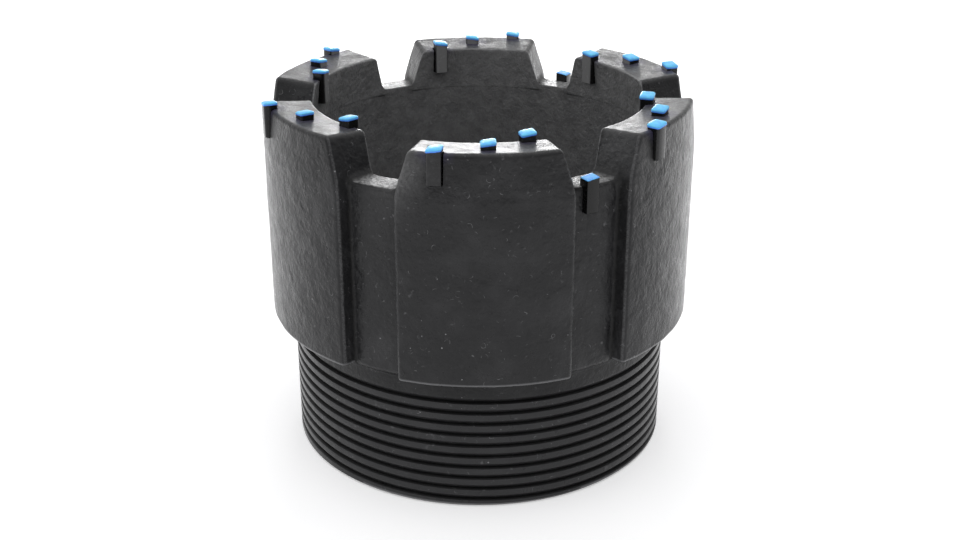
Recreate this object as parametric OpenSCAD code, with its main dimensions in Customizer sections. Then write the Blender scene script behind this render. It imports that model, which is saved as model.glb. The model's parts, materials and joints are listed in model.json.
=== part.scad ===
// Threaded ring bit for core and casing drilling.
// One steel ring carries a male thread below, six raised pads round it and six crown segments on top.
// Square carbide inserts sit in pockets of the crown and in every second waterway.
// Millimetres, +Z up. The origin is at the middle of the thread end, which the bit stands on.

/* [Ring] */
// Outside diameter of the ring wall between the pads
ring_d = 139.5; // [120:0.5:160]
// Thickness of the ring wall above the thread
wall_t = 9.75; // [8.5:0.25:12]
// Length of the threaded end below the shoulder
shank_h = 47; // [40:0.5:60]
// Step from the ring wall down to the thread crests
shoulder_t = 2.3; // [1.5:0.1:3]
// Height of the sloping shoulder
shoulder_h = 2.1; // [1:0.1:4]
// How far the sloping shoulder runs on under the pads
shoulder_run = 0.5; // [0.2:0.1:1.5]
// Bevel at the lower end of the thread
end_bevel = 1; // [0.5:0.1:2]
// Bevel at the lower end of the bore
bore_bevel = 0.8; // [0.3:0.1:1.5]

/* [Thread] */
// Distance from one thread groove to the next
thread_pitch = 4.1; // [3.5:0.1:5]
// Depth of a thread groove
thread_depth = 1.2; // [0.6:0.1:1.6]
// Height of the flat crest between two grooves
crest_h = 1.9; // [1.2:0.1:2]
// Height of the flat root of a groove
root_h = 0.5; // [0.3:0.1:1]
// Height that the steep lower flank of a groove takes
steep_h = 0.4; // [0.2:0.1:0.6]
// Plain length below the first groove
lead_h = 2.4; // [2.1:0.1:3]
// Least plain length above the last groove
run_out_h = 3; // [2:0.1:5]

/* [Pads] */
// Height of the pads from the shoulder to the waterway floor
pad_h = 63.7; // [50:0.5:80]
// How far the pads stand out of the ring wall
pad_t = 5.25; // [4:0.25:8]
// Rounding of the lower edge of a pad
pad_edge_r = 1.2; // [0.5:0.1:2]

/* [Crown] */
// Height of the crown segments above the waterway floor
crown_h = 14.6; // [12.5:0.1:18]
// How far the outside of a segment draws in towards its top
crown_draw = 1.3; // [0.5:0.1:2]
// Length of pad below the waterway floor where the outside starts to draw in
draw_start = 1; // [0.5:0.1:3]
// How far the inside of a segment leans in over the bore
crown_lean = 1.95; // [1:0.05:2.5]
// Length of bore below the waterway floor where the inner lean starts
lean_start = 2.3; // [0.5:0.1:4]
// Fall of a segment's top face towards the bore
top_fall = 1.3; // [0:0.1:2]
// Rounding of the outer top edge of a segment
top_edge_r = 2; // [0.5:0.1:2.5]
// Rounding of the inner top edge of a segment
inner_edge_r = 0.8; // [0.3:0.1:1]

/* [Waterways] */
// Width of a waterway floor where it meets the outside of the pads
mouth_w = 20.4; // [18:0.2:24]
// Angle of each side of a waterway to the line through its middle
side_splay = 15.5; // [12:0.5:17]
// Lean of the segments' flanks away from upright
flank_lean = 18.5; // [10:0.5:22]
// Bevel at the outer edge of a waterway floor
floor_bevel = 1; // [0.3:0.1:1.5]

/* [Inserts] */
// Width of a crown insert along the turning direction
insert_w = 4.5; // [3.5:0.1:5.5]
// Depth of a crown insert towards the middle of the bit
insert_d = 4.4; // [3.5:0.1:5]
// Length of a crown insert
insert_h = 12; // [10:0.5:14]
// Bevel on the four upright edges of a crown insert
insert_corner = 0.7; // [0.2:0.1:1.2]
// Bevel round the cutting end of an insert
insert_bevel = 0.5; // [0.2:0.1:0.8]
// Slope of a crown insert's cutting end, which is high on the leading side
insert_rake = 8; // [0:0.5:12]
// Height of the cutting ends above the outer top edge of the crown
insert_stand = 1.9; // [1.2:0.1:3]
// Length of the painted cutting end
paint_h = 0.9; // [0.5:0.1:1.5]
// How far an outer insert stands out of the pads' outside
outer_proud = 0.65; // [0.2:0.05:1.5]
// How far an inner insert stands into the bore, at the top of the segment
inner_proud = 1.65; // [0.5:0.05:2.5]
// Turn of the outer inserts from the middle of their segment, in degrees
outer_turn = -12; // [-13:0.5:-9]
// Turn of the middle inserts from the middle of their segment, in degrees
middle_turn = 0.8; // [-2:0.1:2]
// Turn of the inner inserts from the middle of their segment, in degrees
inner_turn = 13.2; // [10:0.1:13.5]
// Braze gap between an insert and the sides of its pocket
braze_gap = 0.25; // [0.1:0.05:0.4]

/* [Waterway inserts] */
// Width of a waterway insert along the turning direction
gauge_w = 4.3; // [3.5:0.1:5]
// Depth of a waterway insert towards the middle of the bit
gauge_d = 4.3; // [3.5:0.1:5]
// Bevel on the four upright edges of a waterway insert
gauge_corner = 0.3; // [0.1:0.1:1]
// Length of a waterway insert
gauge_h = 11.5; // [8:0.5:14]
// Height of a waterway insert above the waterway floor
gauge_stand = 2.9; // [1.5:0.1:4]
// How far a waterway insert stands out of the ring wall
gauge_proud = 2.3; // [1:0.1:3]
// Slope of a waterway insert's cutting end
gauge_rake = 14; // [0:1:18]
// Turn of the first waterway insert from the middle of its waterway, in degrees
gauge_turn_1 = -2.2; // [-3:0.1:1]
// Turn of the second waterway insert from the middle of its waterway, in degrees
gauge_turn_2 = 0.2; // [-3:0.1:1]
// Turn of the third waterway insert from the middle of its waterway, in degrees
gauge_turn_3 = -1; // [-3:0.1:1]

/* [Hidden] */
$fn = 96;

// Colours
steel_paint = "#37393b";
carbide_grey = "#2a2b2d";
tip_paint = "#58a8f2";

// Counts, with a waterway insert in every second waterway
segment_count = 6;
gauge_count = segment_count / 2;

// Radii
ring_r = ring_d / 2;
bore_r = ring_r - wall_t;
crest_r = ring_r - shoulder_t;
root_r = crest_r - thread_depth;
pad_r = ring_r + pad_t;
crown_outer_r = pad_r - crown_draw;
crown_inner_r = bore_r - crown_lean;

// Heights
pad_low_z = shank_h + shoulder_h;
floor_z = pad_low_z + pad_h;
draw_z = floor_z - draw_start;
lean_z = floor_z - lean_start;
crown_z = floor_z + crown_h;
crown_inner_z = crown_z - top_fall;
insert_top_z = crown_z + insert_stand;
insert_low_z = insert_top_z - insert_h;
gauge_top_z = floor_z + gauge_stand;
gauge_low_z = gauge_top_z - gauge_h;
under_paint_h = paint_h / 4;
groove_count = floor((shank_h - lead_h - run_out_h) / thread_pitch);

// Directions, with the first segment on -Y and the others following round towards +X
segment_step = 360 / segment_count;
first_angle = -90;
gauge_turns = [gauge_turn_1, gauge_turn_2, gauge_turn_3];

// Radial places of the inserts' middles
outer_insert_r = pad_r + outer_proud - insert_d / 2;
inner_insert_r = crown_inner_r - inner_proud + insert_d / 2;
middle_insert_r = (pad_r + crown_inner_r) / 2;
gauge_r = ring_r + gauge_proud - gauge_d / 2;

// Shape of the waterways
mouth_angle = asin(mouth_w / 2 / pad_r);
mouth_x = pad_r * cos(mouth_angle);
cut_reach = 2 * pad_r;
cut_past = 1;
fillet_steps = 6;

function angle_of(i) = first_angle + (i - 1) * segment_step;
function waterway_angle(i) = angle_of(2 * i - 1) + segment_step / 2;
function arc(x, y, r, from, to) = [
    for (s = [0 : fillet_steps])
        let (a = from + (to - from) * s / fillet_steps)
            [x + r * cos(a), y + r * sin(a)]
];

// One thread groove, from its steep lower flank up to the sloping upper one
function groove(i) =
    let (z = lead_h + i * thread_pitch)
        [
            [crest_r, z],
            [root_r, z + steep_h],
            [root_r, z + steep_h + root_h],
            [crest_r, z + thread_pitch - crest_h]
        ];

thread_line = [for (i = [0 : groove_count - 1]) each groove(i)];

// Half of the ring's section, outside going up and inside coming down
module ring_section() {
    lean_angle = atan(crown_lean / (crown_inner_z - lean_z));
    draw_angle = atan(crown_draw / (crown_z - draw_z));
    fall_angle = atan(top_fall / (crown_outer_r - crown_inner_r));
    polygon(concat(
        [[crest_r - end_bevel, 0], [crest_r, end_bevel]],
        thread_line,
        [[crest_r, shank_h], [ring_r + shoulder_run, pad_low_z]],
        arc(pad_r - pad_edge_r, pad_low_z + pad_edge_r, pad_edge_r, -90, 0),
        [[pad_r, draw_z]],
        arc(crown_outer_r - top_edge_r, crown_z - top_edge_r, top_edge_r, draw_angle, 90 + fall_angle),
        arc(crown_inner_r + inner_edge_r, crown_inner_z - inner_edge_r, inner_edge_r,
            90 + fall_angle, 180 + lean_angle),
        [[bore_r, lean_z], [bore_r, bore_bevel], [bore_r + bore_bevel, 0]]
    ));
}

// Space on one side of a waterway's flank, in the waterway's own directions
module flank_side(lean) {
    translate([mouth_x, mouth_w / 2, floor_z])
        rotate([0, 0, side_splay])
            rotate([-lean, 0, 0])
                translate([-cut_reach, -cut_reach, -cut_reach])
                    cube([2 * cut_reach, cut_reach, 2 * cut_reach]);
}

// Space between two neighbouring flanks, from low_z up to high_z
module flank_space(lean, low_z, high_z) {
    intersection() {
        flank_side(lean);
        mirror([0, 1, 0])
            flank_side(lean);
        translate([0, -pad_r, low_z])
            cube([cut_reach, 2 * pad_r, high_z - low_z]);
    }
}

// What one waterway takes out: the notch in the crown, the flute between the pads and the floor's bevel
module waterway_cut() {
    flank_space(flank_lean, floor_z, crown_z + cut_past);
    difference() {
        flank_space(0, pad_low_z - cut_past, floor_z);
        cylinder(r = ring_r, h = floor_z);
    }
    intersection() {
        flank_space(0, floor_z - 2 * floor_bevel, floor_z + cut_past);
        rotate_extrude()
            polygon([
                [ring_r - floor_bevel - cut_past, floor_z + cut_past],
                [ring_r + cut_past, floor_z - floor_bevel - cut_past],
                [ring_r + cut_past, floor_z + cut_past]
            ]);
    }
}

// Upright square pocket, open at the top
module pocket(width, depth, low_z) {
    translate([-depth / 2 - braze_gap, -width / 2 - braze_gap, low_z])
        cube([depth + 2 * braze_gap, width + 2 * braze_gap, crown_z]);
}

// Cutting end of an insert: a sloping face with a bevel round it, spreading downwards
module cutting_end(width, depth, top_z, rake) {
    tall = insert_h;
    translate([0, 0, top_z])
        rotate([rake, 0, 0])
            intersection() {
                rotate([90, 0, 90])
                    linear_extrude(height = cut_reach, center = true)
                        polygon([
                            [-width / 2 + insert_bevel, 0], [width / 2 - insert_bevel, 0],
                            [width / 2 - insert_bevel + tall, -tall], [-width / 2 + insert_bevel - tall, -tall]
                        ]);
                rotate([90, 0, 0])
                    linear_extrude(height = cut_reach, center = true)
                        polygon([
                            [-depth / 2 + insert_bevel, 0], [depth / 2 - insert_bevel, 0],
                            [depth / 2 - insert_bevel + tall, -tall], [-depth / 2 + insert_bevel - tall, -tall]
                        ]);
            }
}

// Square bar with bevelled upright edges
module bar(width, depth, corner, low_z, high_z) {
    translate([0, 0, low_z])
        linear_extrude(height = high_z - low_z)
            polygon([
                [depth / 2, -width / 2 + corner], [depth / 2, width / 2 - corner],
                [depth / 2 - corner, width / 2], [-depth / 2 + corner, width / 2],
                [-depth / 2, width / 2 - corner], [-depth / 2, -width / 2 + corner],
                [-depth / 2 + corner, -width / 2], [depth / 2 - corner, -width / 2]
            ]);
}

// Whole form of an insert: a square bar with its cutting end
module insert_form(width, depth, corner, low_z, top_z, rake) {
    intersection() {
        bar(width, depth, corner, low_z, top_z + width);
        cutting_end(width, depth, top_z, rake);
    }
}

// Everything below a plane that slopes as the cutting ends do
module below_slope(top_z, rake) {
    translate([0, 0, top_z])
        rotate([rake, 0, 0])
            translate([-pad_r, -pad_r, -cut_reach])
                cube([2 * pad_r, 2 * pad_r, cut_reach]);
}

// Carbide insert with its painted cutting end, the carbide running on a little way under the paint
module insert(width, depth, corner, low_z, top_z, rake) {
    color(carbide_grey)
        intersection() {
            insert_form(width, depth, corner, low_z, top_z, rake);
            below_slope(top_z - paint_h + under_paint_h, rake);
        }
    color(tip_paint)
        difference() {
            insert_form(width, depth, corner, low_z, top_z, rake);
            below_slope(top_z - paint_h, rake);
        }
}

// Places of the inserts, for the inserts and their pockets alike
module at_outer(i) {
    rotate([0, 0, angle_of(i) + outer_turn])
        translate([outer_insert_r, 0, 0])
            children();
}

module at_middle(i) {
    rotate([0, 0, angle_of(i) + middle_turn])
        translate([middle_insert_r, 0, 0])
            children();
}

module at_inner(i) {
    rotate([0, 0, angle_of(i) + inner_turn])
        translate([inner_insert_r, 0, 0])
            children();
}

module at_waterway(i) {
    rotate([0, 0, waterway_angle(i) + gauge_turns[i - 1]])
        translate([gauge_r, 0, 0])
            children();
}

module bit_body() {
    color(steel_paint)
        difference() {
            rotate_extrude()
                ring_section();
            for (i = [1 : segment_count]) {
                rotate([0, 0, angle_of(i) + segment_step / 2])
                    waterway_cut();
                at_outer(i)
                    pocket(insert_w, insert_d, insert_low_z);
                at_middle(i)
                    pocket(insert_w, insert_d, insert_low_z);
                at_inner(i)
                    pocket(insert_w, insert_d, insert_low_z);
            }
            for (i = [1 : gauge_count])
                at_waterway(i)
                    pocket(gauge_w, gauge_d, gauge_low_z);
        }
}

module crown_insert() {
    insert(insert_w, insert_d, insert_corner, insert_low_z, insert_top_z, insert_rake);
}

module outer_insert(i) {
    at_outer(i)
        crown_insert();
}

module middle_insert(i) {
    at_middle(i)
        crown_insert();
}

module inner_insert(i) {
    at_inner(i)
        crown_insert();
}

module waterway_insert(i) {
    at_waterway(i)
        insert(gauge_w, gauge_d, gauge_corner, gauge_low_z, gauge_top_z, gauge_rake);
}

bit_body();
outer_insert(1);  // outer_insert_1
outer_insert(2);  // outer_insert_2
outer_insert(3);  // outer_insert_3
outer_insert(4);  // outer_insert_4
outer_insert(5);  // outer_insert_5
outer_insert(6);  // outer_insert_6
middle_insert(1);  // middle_insert_1
middle_insert(2);  // middle_insert_2
middle_insert(3);  // middle_insert_3
middle_insert(4);  // middle_insert_4
middle_insert(5);  // middle_insert_5
middle_insert(6);  // middle_insert_6
inner_insert(1);  // inner_insert_1
inner_insert(2);  // inner_insert_2
inner_insert(3);  // inner_insert_3
inner_insert(4);  // inner_insert_4
inner_insert(5);  // inner_insert_5
inner_insert(6);  // inner_insert_6
waterway_insert(1);  // waterway_insert_1
waterway_insert(2);  // waterway_insert_2
waterway_insert(3);  // waterway_insert_3
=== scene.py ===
"""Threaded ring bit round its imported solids: cast body, cut thread, inserts, finishes and stage."""

import json
from math import asin, atan, atan2, cos, hypot, pi, radians, sin, tan

import bmesh
import bpy
import numpy as np
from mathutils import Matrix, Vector, noise


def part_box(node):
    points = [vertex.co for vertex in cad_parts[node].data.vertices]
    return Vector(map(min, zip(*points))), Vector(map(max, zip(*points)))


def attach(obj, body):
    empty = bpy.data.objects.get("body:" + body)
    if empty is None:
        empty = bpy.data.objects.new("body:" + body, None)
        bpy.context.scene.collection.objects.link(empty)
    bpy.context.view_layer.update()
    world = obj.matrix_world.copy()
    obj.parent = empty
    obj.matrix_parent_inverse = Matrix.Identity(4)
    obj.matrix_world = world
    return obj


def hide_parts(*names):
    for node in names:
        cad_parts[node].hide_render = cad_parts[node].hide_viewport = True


bl_info = {
    "name": "Threaded Ring Bit",
    "version": (1, 0, 0),
    "blender": (4, 5, 0),
    "location": "3D View > Sidebar > Ring Bit",
    "description": "Models the painted steel body, the thread and the carbide inserts of a ring bit",
    "category": "Object",
}

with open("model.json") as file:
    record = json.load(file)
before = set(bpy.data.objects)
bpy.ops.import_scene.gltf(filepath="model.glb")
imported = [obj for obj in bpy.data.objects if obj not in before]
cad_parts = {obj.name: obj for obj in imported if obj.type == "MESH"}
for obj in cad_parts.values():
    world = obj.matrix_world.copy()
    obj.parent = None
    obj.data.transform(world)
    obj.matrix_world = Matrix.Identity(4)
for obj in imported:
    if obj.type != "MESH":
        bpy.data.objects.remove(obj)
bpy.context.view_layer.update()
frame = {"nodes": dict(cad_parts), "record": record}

MM = 0.001
BODY_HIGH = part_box("bit_body")[1]
MOUNTS = {mount["name"]: mount for mount in frame["record"]["mounts"]}
CREST_RADIUS = MOUNTS["casing_thread"]["dims"]["r_mm"] * MM
BORE_RADIUS = MOUNTS["core_bore"]["dims"]["r_mm"] * MM

SEGMENTS = 6
STEP = 2 * pi / SEGMENTS
HALF_STEP = STEP / 2
FIRST_SEGMENT = -pi / 2
CROWN_SPOTS = ("outer", "middle", "inner")

# How near points are welded, and how near a height they count as lying on it
WELD = 0.002 * MM
ON_LINE = 0.02 * MM

# How far a pocket's cutter spreads past the rim, and how far it reaches out of the body
OVER = 0.1 * MM
REACH = 3 * MM

# Faces that meet at more than these angles keep a sharp edge
BODY_CREASE = radians(35)
INSERT_CREASE = radians(40)

# Depth below the top and inset from the sides of the rings at an insert's end, in millimetres
CROWN_DOME = ((0, 1.7), (0.02, 1.1), (0.07, 0.65), (0.16, 0.33), (0.29, 0.1))
WATERWAY_END = ((0, 1.2), (0, 0.3), (0.03, 0.1), (0.1, 0.02))

# Height above a pocket's floor and inset of the rings that round the pocket's foot
POCKET_FOOT = ((0.0, 0.3 * MM), (0.1 * MM, 0.1 * MM), (0.35 * MM, 0.0))

# The camera at the photograph's viewing angle, with its turns in degrees, its lens in millimetres
CAMERA_PLACE = (-0.01223, -0.45743, 0.25598)
CAMERA_TURNS = (66.614, 0.0, -1.568)
CAMERA_LENS = 50.94
CAMERA_SENSOR = 36.0

# Each lamp's name, place, size and power, and the point that all of them face
LAMP_TARGET = (0.0, 0.0, 0.09)
LAMPS = (
    ("left_lamp", (-0.74, -0.19, 0.29), (0.4, 0.35), 0.6),
    ("high_back_lamp", (0.12, 0.85, 0.42), (0.55, 0.3), 0.25),
    ("back_lamp", (0.02, 0.85, 0.21), (0.28, 0.09), 1.9),
)


def length(name, description, default):
    """A length that the sidebar shows in the scene's units."""
    return bpy.props.FloatProperty(
        name=name, description=description, default=default, min=0.0, precision=5, unit="LENGTH"
    )


def angle(name, description, default):
    """An angle, given in degrees and stored in radians."""
    return bpy.props.FloatProperty(
        name=name, description=description, default=radians(default), unit="ROTATION"
    )


def colour(name, description, default):
    """A paint or metal colour."""
    return bpy.props.FloatVectorProperty(
        name=name, description=description, default=default, min=0.0, max=1.0, size=3, subtype="COLOR"
    )


class RingBitBody(bpy.types.PropertyGroup):
    """Sizes of the cast and turned body."""

    pad_radius: length("Pad radius", "Outside of the six pads", BODY_HIGH.y)
    crown_height: length("Crown height", "Outer top edge of the segments", BODY_HIGH.z)
    ring_radius: length("Ring radius", "Outside of the wall between the pads", 69.75 * MM)
    crest_radius: length("Crest radius", "Outside of the thread's crests", CREST_RADIUS)
    bore_radius: length("Bore radius", "Inside of the ring", BORE_RADIUS)
    floor_height: length("Floor height", "Floor of the waterways", 112.8 * MM)
    pad_foot: length("Pad foot", "Lower edge of the pads", 49.1 * MM)
    shank_height: length("Shank height", "Foot of the shoulder above the thread", 47 * MM)
    crown_draw: length("Crown draw", "How far a segment's outside draws in", 1.3 * MM)
    draw_start: length("Draw start", "Height where the outside starts to draw in", 111.8 * MM)
    crown_lean: length("Crown lean", "How far a segment's inside leans over the bore", 1.95 * MM)
    lean_start: length("Lean start", "Height where the inside starts to lean", 110.5 * MM)
    top_fall: length("Top fall", "Fall of a segment's top towards the bore", 1.3 * MM)
    mouth_width: length("Waterway width", "Width of a waterway at the pads' outside", 20.4 * MM)
    splay: angle("Splay", "Angle of a waterway's sides to its middle", 15.5)
    flank_lean: angle("Flank lean", "Lean of the segments' flanks", 18.5)
    end_bevel: length("End bevel", "Bevel at the thread's end", 1 * MM)
    bore_bevel: length("Bore bevel", "Bevel at the bore's lower end", 0.8 * MM)
    seam_depth: length("Seam depth", "Seam inside a segment, where its lean starts", 0.08 * MM)
    seam_width: length("Seam width", "Half the height of the seam", 0.28 * MM)


class RingBitEdges(bpy.types.PropertyGroup):
    """Roundings that the casting and the paint leave on the body's edges."""

    top: length("Top edge", "Outer top edge of a segment", 1.5 * MM)
    side: length("Side edge", "Upright edges of pads and segments", 1.4 * MM)
    foot: length("Pad foot edge", "Lower edge of a pad", 1.2 * MM)
    floor: length("Floor edge", "Outer edge of a waterway's floor", 1.5 * MM)
    inner: length("Inner edge", "Segments' edges at the bore", 0.85 * MM)
    mouth: length("Bore edge", "Edge between the bore and the waterways' floors", 0.6 * MM)
    hollow: length("Hollow", "Inside corners beside the pads", 0.8 * MM)
    floor_hollow: length("Floor hollow", "Inside corners at the waterways' floors", 2.4 * MM)
    crease: length("Crease", "Softness of the bend in a flank at the floor", 2.0 * MM)
    rim: length("Pocket rim", "Bevel at the rim of an insert's pocket", 0.12 * MM)
    wave: length("Casting waves", "Depth of the slow waves that casting leaves", 0.16 * MM)
    wave_size: length("Wave size", "Breadth of the casting's waves", 7 * MM)


class RingBitThread(bpy.types.PropertyGroup):
    """Sizes of the left-hand thread."""

    pitch: length("Pitch", "Rise of one turn", 4.1 * MM)
    depth: length("Depth", "Depth of the groove", 1.3 * MM)
    crest: length("Crest", "Height of the flat crest", 1.95 * MM)
    root: length("Root", "Height of the groove's root", 0.25 * MM)
    steep: length("Steep flank", "Height that the lower flank takes", 0.15 * MM)
    soft: length("Softness", "Rounding of the thread's edges", 0.1 * MM)
    first: length("First groove", "Lower edge of the lowest full groove at the front", 2.35 * MM)
    turns: bpy.props.IntProperty(name="Turns", description="Grooves counted at the front", default=10, min=1)
    start: angle("Start", "Direction in which the grooves are counted", -91.5)


class RingBitInserts(bpy.types.PropertyGroup):
    """Sizes of the carbide inserts."""

    crown_width: length("Crown width", "Crown insert along the turning direction", 4.5 * MM)
    crown_depth: length("Crown depth", "Crown insert towards the bore", 4.4 * MM)
    crown_corner: length("Crown corner", "Upright edges of a crown insert", 0.7 * MM)
    crown_rake: angle("Crown rake", "Slope of a crown insert's end", 8)
    gauge_width: length("Waterway width", "Waterway insert along the turning direction", 4.3 * MM)
    gauge_depth: length("Waterway depth", "Waterway insert towards the bore", 4.3 * MM)
    gauge_corner: length("Waterway corner", "Upright edges of a waterway insert", 0.35 * MM)
    gauge_rake: angle("Waterway rake", "Slope of a waterway insert's end", 8)
    coat: length("Coat", "Paint on an insert's sides", 0.1 * MM)
    cap: length("Cap", "How far the tip paint stands out past the sides", 0.12 * MM)
    paint: length("Paint", "Length of a crown insert's painted cutting end", 1.25 * MM)
    gauge_paint: length("Waterway paint", "Length of a waterway insert's painted end", 0.22 * MM)
    gap: length("Open gap", "Gap beside an insert, on the side that it doesn't bear on", 0.32 * MM)
    seat: length("Seat", "Gap on an insert's other sides", 0.03 * MM)


class RingBitFinish(bpy.types.PropertyGroup):
    """Colours of the finishes, and of the painted light and shade over them."""

    steel: colour("Body paint", "Satin black paint on the body", (0.015, 0.015, 0.016))
    steel_worn: colour("Worn paint", "Greyer paint in worn patches", (0.040, 0.040, 0.042))
    # Grey inside the bore: partly a bloom on the paint, partly painted light that reaches into the bore
    bore_dust_and_light: colour("Bore dust", "Grey bloom on the paint inside the bore", (0.200, 0.200, 0.202))
    # Pale paint for the painted glare on floors and tops, and for the painted sheen on the front segments
    scoured: colour("Scoured paint", "Paler paint on floors, crown and scuffs", (0.420, 0.420, 0.424))
    # Pale specks and scratches, and the pale of the painted highlight lines on edges
    specks_and_highlights: colour("Specks", "Pale specks, scratches and worn edges", (0.30, 0.30, 0.31))
    # Violet blue round the inserts: drifted tip paint and a painted reflection of the blue tips
    mist: colour("Mist", "Violet blue mist of tip paint round the inserts", (0.060, 0.050, 0.130))
    # Near-black for the painted shade in thread roots, hollows, the seam and the pockets, and for the insert
    # bars' side faces
    shade: colour("Shade", "Oily black in roots, hollows and pockets", (0.004, 0.004, 0.004))
    tip: colour("Tip paint", "Blue paint on the cutting ends", (0.155, 0.640, 1.000))
    # Deeper blue for the painted shade down the sides of the painted tips
    tip_side_shade: colour("Deep tip paint", "Blue where the paint runs over the edge", (0.085, 0.280, 1.000))
    floor: colour("Floor", "Pale floor", (0.86, 0.86, 0.87))


def soft_max(a, b, radius):
    """The larger of two distances, which rounds the outside edge between two faces."""
    corner = np.hypot(np.maximum(a + radius, 0), np.maximum(b + radius, 0))
    return np.minimum(np.maximum(a, b), -radius) + corner


def soft_min(a, b, radius):
    """The smaller of two distances, which fills the inside corner between two faces."""
    return -soft_max(-a, -b, radius)


def share(values):
    """Values held between 0 and 1."""
    return np.clip(values, 0, 1)


def round_axis(points):
    """Each point's distance from the axis, and its angle past the middle of the nearest segment."""
    x, y, _ = points.T
    return np.hypot(x, y), (np.arctan2(y, x) - FIRST_SEGMENT + HALF_STEP) % STEP - HALF_STEP


class BodyForm:
    """The body's form above the thread, as sharp faces and as a rounded distance."""

    # Stretches over which the seam fades, the hollow grows and the inner edge grows
    seam_fade = 3 * MM
    hollow_rise = 4 * MM
    inner_rise = 3 * MM

    # How points are moved onto the form
    nudge = 1e-5
    settling_steps = 6
    least_slope = 0.2

    def __init__(self, body, edges):
        self.body = body
        self.edges = edges
        mouth = asin(body.mouth_width / 2 / body.pad_radius)
        self.half_splay = HALF_STEP - body.splay
        self.flank_reach = body.pad_radius * sin(HALF_STEP - mouth - self.half_splay)
        self.crown_outer = body.pad_radius - body.crown_draw
        self.crown_inner = body.bore_radius - body.crown_lean
        self.crown_inner_height = body.crown_height - body.top_fall
        self.fall = body.top_fall / (self.crown_outer - self.crown_inner)

    def outer_radius(self, z):
        """Outside of a pad and its segment."""
        b = self.body
        rise = np.clip((z - b.draw_start) / (b.crown_height - b.draw_start), 0, None)
        return b.pad_radius - b.crown_draw * rise

    def inner_radius(self, z):
        """Inside of the ring and its segments."""
        b = self.body
        rise = np.clip((z - b.lean_start) / (self.crown_inner_height - b.lean_start), 0, None)
        return b.bore_radius - b.crown_lean * rise

    def top_height(self, r):
        """Top face of a segment, which falls towards the bore."""
        return self.body.crown_height - self.fall * (self.crown_outer - r)

    def flank_angle(self, r, z):
        """Angle from the middle of a segment to its flank."""
        rise = np.maximum(z - self.body.floor_height, 0)
        return self.half_splay + np.arcsin((self.flank_reach - tan(self.body.flank_lean) * rise) / r)

    def past_flank(self, r, turn, rise=0.0):
        """How far points lie past a segment's flank, below nought on the segment's side."""
        along, across = r * np.cos(turn), r * np.sin(turn)
        level = across * cos(self.half_splay) - along * sin(self.half_splay) - self.flank_reach
        return level + tan(self.body.flank_lean) * rise

    def seam(self, z, flank):
        """Depth of the seam inside a segment, which fades out at the flanks."""
        b = self.body
        band = np.exp(-(((z - b.lean_start) / b.seam_width) ** 2))
        return b.seam_depth * band * share(-flank / self.seam_fade)

    def distance(self, points):
        """Signed distance to the rounded form, below nought inside the steel."""
        b, e = self.body, self.edges
        z = points[:, 2]
        r, turn = round_axis(points)
        above = z - b.floor_height
        rise = (above + np.hypot(above, e.crease)) / 2
        flank = self.past_flank(r, np.abs(turn), rise * np.where(above > 0, cos(b.flank_lean), 1))
        top = (z - self.top_height(r)) * cos(atan(self.fall))
        block = soft_max(r - self.outer_radius(z), top, e.top)
        block = soft_max(block, flank, e.side)
        block = soft_max(block, b.pad_foot - z, e.foot)
        run, lift = b.ring_radius - b.crest_radius, b.pad_foot - b.shank_height
        slope = ((r - b.crest_radius) * lift - (z - b.shank_height) * run) / hypot(run, lift)
        wall = soft_min(r - b.crest_radius, soft_max(r - b.ring_radius, slope, e.foot / 2), e.foot / 3)
        ring = soft_max(wall, above, e.floor)
        inside = self.inner_radius(z) + self.seam(z, flank) - r
        up = share((above + self.hollow_rise) / self.hollow_rise)
        hollow = e.hollow + (e.floor_hollow - e.hollow) * up * up
        inner = e.mouth + (e.inner - e.mouth) * share(above / self.inner_rise)
        return soft_max(soft_min(block, ring, hollow), inside, inner)

    def slope(self, points):
        """Direction in which the distance grows."""
        steps = np.eye(3) * self.nudge
        rises = [self.distance(points + step) - self.distance(points - step) for step in steps]
        return np.stack(rises, 1) / (2 * self.nudge)

    def settle(self, points):
        """Moves points onto the rounded form."""
        for _ in range(self.settling_steps):
            slope = self.slope(points)
            size = np.maximum((slope**2).sum(1), self.least_slope)
            points = points - slope * (self.distance(points) / size)[:, None]
        return points


def spread(*stretches):
    """Shares from 0 to 1 in stretches, each given by its end and its number of steps."""
    shares, start = [0.0], 0.0
    for end, steps in stretches:
        shares += [start + (end - start) * (i + 1) / steps for i in range(steps)]
        start = end
    return np.array(shares)


def near_edges(low, high, low_reach, high_reach, steps, close):
    """Values from low to high, closer together within each end's reach."""
    first = low + low_reach * spread((1, close))
    last = high - high_reach * spread((1, close))[::-1]
    middle = np.linspace(first[-1], last[0], steps + 1)[1:-1]
    return np.concatenate([first, middle, last])


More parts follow.
